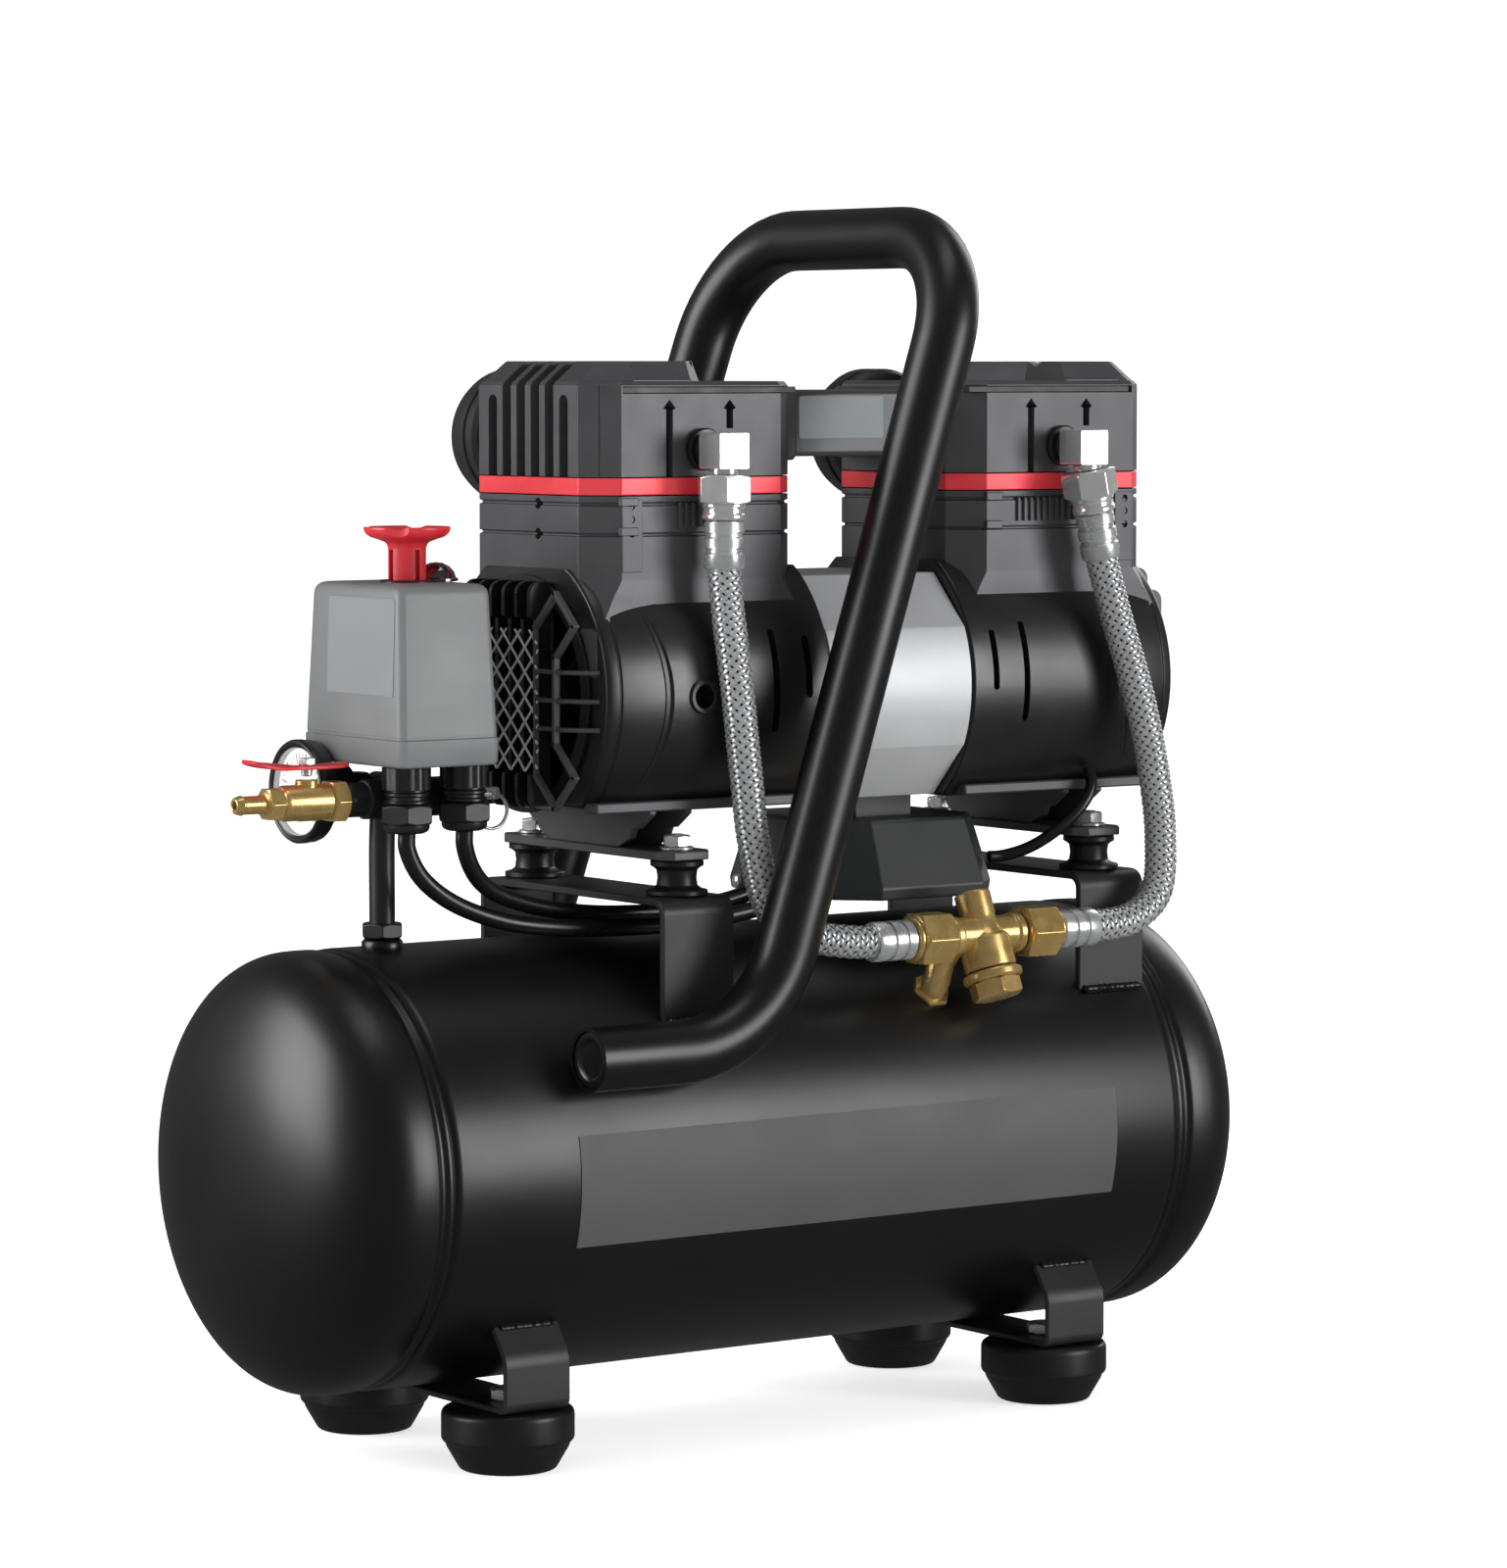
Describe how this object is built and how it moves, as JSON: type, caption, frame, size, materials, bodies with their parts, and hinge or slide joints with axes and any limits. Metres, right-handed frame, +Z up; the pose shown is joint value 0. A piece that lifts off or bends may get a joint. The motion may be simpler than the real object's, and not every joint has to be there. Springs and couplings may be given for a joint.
{
  "type": "air compressor",
  "caption": "Portable oil-free air compressor: horizontal tank on rubber feet, motor between two upright piston units, pressure switch, outlet tap and tubular carry handle.",
  "frame": {"origin": "on the floor, under the middle of the tank", "axes": "+X along the tank towards the unit away from the pressure switch, +Y towards the silencer side, away from the hoses, +Z up"},
  "size_m": [0.452, 0.197, 0.4825],
  "materials": {
    "black_enamel": "gloss black baked enamel over steel",
    "bracket_paint": "satin charcoal powder coat on sheet steel",
    "cast_charcoal": "satin charcoal paint on die-cast aluminium",
    "rubber": "moulded, semi-matte",
    "stator_aluminium": "bead-blasted aluminium housing",
    "machined_aluminium": "turned",
    "machined_steel": "turned and ground",
    "zinc_steel": "bright zinc plate",
    "chrome": "bright nickel-chrome plate",
    "steel_braid": "woven stainless braid over hose",
    "brass": "turned and tumbled",
    "black_plastic": "moulded, fine grain",
    "grey_plastic": "moulded charcoal housing",
    "red_plastic": "moulded red",
    "red_gasket": "red anodised plate",
    "cable_pvc": "extruded PVC sheath"
  },
  "bodies": {
    "frame": {"tank": "black_enamel", "handle": "black_enamel", "drain_valve": "brass", "stator": "stator_aluminium", "crossover_duct": "cast_charcoal", "check_valve_body": "brass", "check_valve_cap": "brass", "riser_manifold": "bracket_paint", "switch_base": "grey_plastic", "switch_cover": "grey_plastic", "switch_lead_a": "cable_pvc", "switch_lead_b": "cable_pvc", "tap_body": "brass", "gauge_case": "zinc_steel", "safety_valve": "zinc_steel", "capacitor_box": "black_plastic", "capacitor_lead": "cable_pvc", "foot_bracket_left": "bracket_paint", "motor_bridge_left": "bracket_paint", "crankcase_left": "cast_charcoal", "end_cover_left": "black_plastic", "cylinder_sleeve_left": "machined_aluminium", "head_gasket_left": "red_gasket", "cylinder_head_left": "cast_charcoal", "silencer_left": "black_plastic", "elbow_left": "chrome", "hose_nut_top_left": "chrome", "hose_nut_bottom_left": "brass", "hose_left": "steel_braid", "rubber_foot_left_near": "rubber", "rubber_mount_left_near": "rubber", "rubber_foot_left_far": "rubber", "rubber_mount_left_far": "rubber", "foot_bracket_right": "bracket_paint", "motor_bridge_right": "bracket_paint", "crankcase_right": "cast_charcoal", "end_cover_right": "black_plastic", "cylinder_sleeve_right": "machined_aluminium", "head_gasket_right": "red_gasket", "cylinder_head_right": "cast_charcoal", "silencer_right": "black_plastic", "elbow_right": "chrome", "hose_nut_top_right": "chrome", "hose_nut_bottom_right": "brass", "hose_right": "steel_braid", "rubber_foot_right_near": "rubber", "rubber_mount_right_near": "rubber", "rubber_foot_right_far": "rubber", "rubber_mount_right_far": "rubber"},
    "crank_spindle": {"crankshaft": "machined_steel", "rotor": "machined_steel", "fan_left": "black_plastic", "fan_right": "black_plastic"},
    "piston_unit_left": {"piston_left": "machined_aluminium"},
    "piston_unit_right": {"piston_right": "machined_aluminium"},
    "knob": {"switch_knob": "red_plastic"},
    "tap_handle": {"tap_lever": "red_plastic"},
    "needle": {"gauge_needle": "red_plastic"},
    "pull_ring": {"safety_ring": "zinc_steel"},
    "drain_key": {"drain_screw": "brass"}
  },
  "joints": [
    {"name": "motor_spin", "type": "hinge", "parent": "frame", "child": "crank_spindle", "pos_m": [0.0525, 0, 0.292], "axis": [1, 0, 0], "continuous": true},
    {"name": "piston_stroke_left", "type": "slide", "parent": "frame", "child": "piston_unit_left", "axis": [0, 0, 1], "range_m": [-0.012, 0]},
    {"name": "piston_stroke_right", "type": "slide", "parent": "frame", "child": "piston_unit_right", "axis": [0, 0, 1], "range_m": [0, 0.012]},
    {"name": "switch_knob_pull", "type": "slide", "parent": "frame", "child": "knob", "axis": [0, 0, 1], "range_m": [-0.005, 0]},
    {"name": "tap_turn", "type": "hinge", "parent": "frame", "child": "tap_handle", "pos_m": [-0.1884, -0.0034, 0.268], "axis": [0, 0, 1], "range_deg": [-90, 0]},
    {"name": "gauge_needle_turn", "type": "hinge", "parent": "frame", "child": "needle", "pos_m": [-0.1765, 0.026, 0.2558], "axis": [-1, 0, 0], "range_deg": [0, 270]},
    {"name": "safety_ring_swing", "type": "hinge", "parent": "frame", "child": "pull_ring", "pos_m": [-0.105, -0.0034, 0.254], "axis": [0, 1, 0], "range_deg": [-20, 45]},
    {"name": "drain_turn", "type": "hinge", "parent": "frame", "child": "drain_key", "pos_m": [0, 0.0707, 0.0413], "axis": [0, 0.7071, -0.7071], "range_deg": [-180, 180]}
  ]
}
